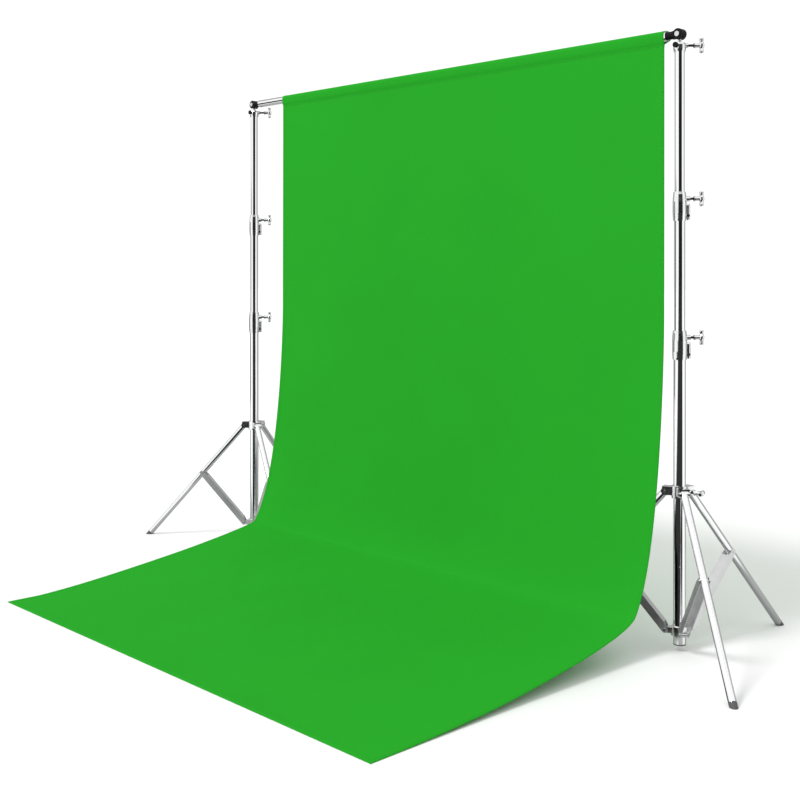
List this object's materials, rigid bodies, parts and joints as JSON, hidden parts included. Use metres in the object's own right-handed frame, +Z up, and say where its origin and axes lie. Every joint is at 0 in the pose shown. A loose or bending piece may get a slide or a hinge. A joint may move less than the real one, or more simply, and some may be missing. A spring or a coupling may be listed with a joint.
{
  "type": "background support system",
  "caption": "Telescoping tripod masts with clamp collars carry a jointed crossbar, from which a green backdrop sheet hangs by a rod pocket and sweeps forward onto the floor.",
  "frame": {"origin": "on the floor, under the middle of the whole object's box", "axes": "+Z up; +X along the crossbar from the left mast to the right one; -Y the side to which the sheet sweeps"},
  "size_m": [3.0782, 1.8264, 2.021],
  "materials": {
    "polished_tube": "polished stainless tube",
    "cast_fittings": "bright plated casting",
    "brace_steel": "bright pressed steel",
    "knob_metal": "plated T-handle on a dark screw",
    "fastener_steel": "plated",
    "black_plastic": "semi-gloss moulded",
    "grey_plastic": "matt moulded",
    "backdrop_cloth": "matt plain-weave cloth"
  },
  "bodies": {
    "root": {"left_column": "polished_tube", "left_column_plug": "grey_plastic", "left_brace_hub": "cast_fittings", "left_lower_clamp": "cast_fittings", "right_column": "polished_tube", "right_column_plug": "grey_plastic", "right_brace_hub": "cast_fittings", "right_lower_clamp": "cast_fittings", "hub_pins": "fastener_steel", "lower_clamp_screws": "fastener_steel"},
    "top": {"left_top_tube": "polished_tube", "left_top_cap": "cast_fittings", "left_end_fitting": "black_plastic", "right_top_tube": "polished_tube", "right_top_cap": "cast_fittings", "right_end_fitting": "black_plastic", "top_bushes": "grey_plastic", "spigots": "fastener_steel", "top_studs": "black_plastic", "fitting_screws": "fastener_steel", "bar_left": "polished_tube", "bar_centre": "polished_tube", "bar_right": "polished_tube", "sheet": "backdrop_cloth"},
    "left_mid": {"left_mid_tube": "polished_tube", "left_mid_bush": "grey_plastic", "left_upper_clamp": "cast_fittings"},
    "left_lower_knob": {"left_lower_knob": "knob_metal"},
    "left_upper_knob": {"left_upper_knob": "knob_metal"},
    "left_top_knob": {"left_top_knob": "knob_metal"},
    "left_brace_1": {"left_brace_1": "brace_steel"},
    "left_leg_1": {"left_leg_1": "polished_tube", "left_foot_1": "grey_plastic"},
    "left_brace_2": {"left_brace_2": "brace_steel"},
    "left_leg_2": {"left_leg_2": "polished_tube", "left_foot_2": "grey_plastic"},
    "left_brace_3": {"left_brace_3": "brace_steel"},
    "left_leg_3": {"left_leg_3": "polished_tube", "left_foot_3": "grey_plastic"},
    "left_collar": {"left_leg_collar": "cast_fittings", "left_collar_pins": "fastener_steel"},
    "left_collar_knob": {"left_collar_knob": "knob_metal"},
    "right_mid": {"right_mid_tube": "polished_tube", "right_mid_bush": "grey_plastic", "right_upper_clamp": "cast_fittings"},
    "right_lower_knob": {"right_lower_knob": "knob_metal"},
    "right_upper_knob": {"right_upper_knob": "knob_metal"},
    "right_top_knob": {"right_top_knob": "knob_metal"},
    "right_brace_1": {"right_brace_1": "brace_steel"},
    "right_leg_1": {"right_leg_1": "polished_tube", "right_foot_1": "grey_plastic"},
    "right_brace_2": {"right_brace_2": "brace_steel"},
    "right_leg_2": {"right_leg_2": "polished_tube", "right_foot_2": "grey_plastic"},
    "right_brace_3": {"right_brace_3": "brace_steel"},
    "right_leg_3": {"right_leg_3": "polished_tube", "right_foot_3": "grey_plastic"},
    "right_collar": {"right_leg_collar": "cast_fittings", "right_collar_pins": "fastener_steel"},
    "right_collar_knob": {"right_collar_knob": "knob_metal"}
  },
  "joints": [
    {"name": "height", "type": "slide", "parent": "root", "child": "top", "axis": [0, 0, 1], "range_m": [-0.68, 0.8], "deforming": ["sheet"]},
    {"name": "left_mid_slide", "type": "slide", "parent": "root", "child": "left_mid", "axis": [0, 0, 1], "range_m": [-0.34, 0.4]},
    {"name": "left_lower_knob", "type": "hinge", "parent": "root", "child": "left_lower_knob", "pos_m": [-1.141, 0.40427, 1.016], "axis": [0.7071, 0.7071, 0], "continuous": true},
    {"name": "left_upper_knob", "type": "hinge", "parent": "left_mid", "child": "left_upper_knob", "pos_m": [-1.141, 0.40427, 1.466], "axis": [0.7071, 0.7071, 0], "continuous": true},
    {"name": "left_top_knob", "type": "hinge", "parent": "top", "child": "left_top_knob", "pos_m": [-1.141, 0.40427, 1.963], "axis": [0.7071, 0.7071, 0], "continuous": true},
    {"name": "left_tripod_fold", "type": "hinge", "parent": "root", "child": "left_brace_1", "pos_m": [-1.17624, 0.3747, 0.065], "axis": [-0.6428, 0.766, 0], "range_deg": [0, 38.8]},
    {"name": "left_leg_hinge_1", "type": "hinge", "parent": "left_brace_1", "child": "left_leg_1", "pos_m": [-1.32818, 0.24721, 0.29], "axis": [-0.6428, 0.766, 0], "range_deg": [-77.6, 0]},
    {"name": "left_brace_hinge_2", "type": "hinge", "parent": "root", "child": "left_brace_2", "pos_m": [-1.14899, 0.44957, 0.065], "axis": [0.9848, 0.1736, 0], "range_deg": [0, 38.8]},
    {"name": "left_leg_hinge_2", "type": "hinge", "parent": "left_brace_2", "child": "left_leg_2", "pos_m": [-1.18343, 0.64491, 0.29], "axis": [0.9848, 0.1736, 0], "range_deg": [-77.6, 0]},
    {"name": "left_brace_hinge_3", "type": "hinge", "parent": "root", "child": "left_brace_3", "pos_m": [-1.09777, 0.38854, 0.065], "axis": [-0.342, -0.9397, 0], "range_deg": [0, 38.8]},
    {"name": "left_leg_hinge_3", "type": "hinge", "parent": "left_brace_3", "child": "left_leg_3", "pos_m": [-0.91139, 0.3207, 0.29], "axis": [-0.342, -0.9397, 0], "range_deg": [-77.6, 0]},
    {"name": "left_collar_slide", "type": "hinge", "parent": "left_leg_1", "child": "left_collar", "pos_m": [-1.17624, 0.3747, 0.515], "axis": [-0.6428, 0.766, 0], "range_deg": [0, 38.8]},
    {"name": "left_collar_knob", "type": "hinge", "parent": "left_collar", "child": "left_collar_knob", "pos_m": [-1.141, 0.40427, 0.515], "axis": [-0.9397, 0.342, 0], "continuous": true},
    {"name": "right_mid_slide", "type": "slide", "parent": "root", "child": "right_mid", "axis": [0, 0, 1], "range_m": [-0.34, 0.4]},
    {"name": "right_lower_knob", "type": "hinge", "parent": "root", "child": "right_lower_knob", "pos_m": [1.141, 0.40427, 1.016], "axis": [0.7071, 0.7071, 0], "continuous": true},
    {"name": "right_upper_knob", "type": "hinge", "parent": "right_mid", "child": "right_upper_knob", "pos_m": [1.141, 0.40427, 1.466], "axis": [0.7071, 0.7071, 0], "continuous": true},
    {"name": "right_top_knob", "type": "hinge", "parent": "top", "child": "right_top_knob", "pos_m": [1.141, 0.40427, 1.963], "axis": [0.7071, 0.7071, 0], "continuous": true},
    {"name": "right_tripod_fold", "type": "hinge", "parent": "root", "child": "right_brace_1", "pos_m": [1.17624, 0.3747, 0.065], "axis": [-0.6428, -0.766, 0], "range_deg": [0, 38.8]},
    {"name": "right_leg_hinge_1", "type": "hinge", "parent": "right_brace_1", "child": "right_leg_1", "pos_m": [1.32818, 0.24721, 0.29], "axis": [-0.6428, -0.766, 0], "range_deg": [-77.6, 0]},
    {"name": "right_brace_hinge_2", "type": "hinge", "parent": "root", "child": "right_brace_2", "pos_m": [1.14899, 0.44957, 0.065], "axis": [0.9848, -0.1736, 0], "range_deg": [0, 38.8]},
    {"name": "right_leg_hinge_2", "type": "hinge", "parent": "right_brace_2", "child": "right_leg_2", "pos_m": [1.18343, 0.64491, 0.29], "axis": [0.9848, -0.1736, 0], "range_deg": [-77.6, 0]},
    {"name": "right_brace_hinge_3", "type": "hinge", "parent": "root", "child": "right_brace_3", "pos_m": [1.09777, 0.38854, 0.065], "axis": [-0.342, 0.9397, 0], "range_deg": [0, 38.8]},
    {"name": "right_leg_hinge_3", "type": "hinge", "parent": "right_brace_3", "child": "right_leg_3", "pos_m": [0.91139, 0.3207, 0.29], "axis": [-0.342, 0.9397, 0], "range_deg": [-77.6, 0]},
    {"name": "right_collar_slide", "type": "hinge", "parent": "right_leg_1", "child": "right_collar", "pos_m": [1.17624, 0.3747, 0.515], "axis": [-0.6428, -0.766, 0], "range_deg": [0, 38.8]},
    {"name": "right_collar_knob", "type": "hinge", "parent": "right_collar", "child": "right_collar_knob", "pos_m": [1.141, 0.40427, 0.515], "axis": [0.9397, 0.342, 0], "continuous": true}
  ],
  "couplings": [
    {"joint": "left_mid_slide", "follows": "height", "ratio": 0.5},
    {"joint": "left_leg_hinge_1", "follows": "left_tripod_fold", "ratio": -2},
    {"joint": "left_brace_hinge_2", "follows": "left_tripod_fold", "ratio": 1},
    {"joint": "left_leg_hinge_2", "follows": "left_tripod_fold", "ratio": -2},
    {"joint": "left_brace_hinge_3", "follows": "left_tripod_fold", "ratio": 1},
    {"joint": "left_leg_hinge_3", "follows": "left_tripod_fold", "ratio": -2},
    {"joint": "left_collar_slide", "follows": "left_tripod_fold", "ratio": 1},
    {"joint": "right_mid_slide", "follows": "height", "ratio": 0.5},
    {"joint": "right_leg_hinge_1", "follows": "right_tripod_fold", "ratio": -2},
    {"joint": "right_brace_hinge_2", "follows": "right_tripod_fold", "ratio": 1},
    {"joint": "right_leg_hinge_2", "follows": "right_tripod_fold", "ratio": -2},
    {"joint": "right_brace_hinge_3", "follows": "right_tripod_fold", "ratio": 1},
    {"joint": "right_leg_hinge_3", "follows": "right_tripod_fold", "ratio": -2},
    {"joint": "right_collar_slide", "follows": "right_tripod_fold", "ratio": 1}
  ]
}
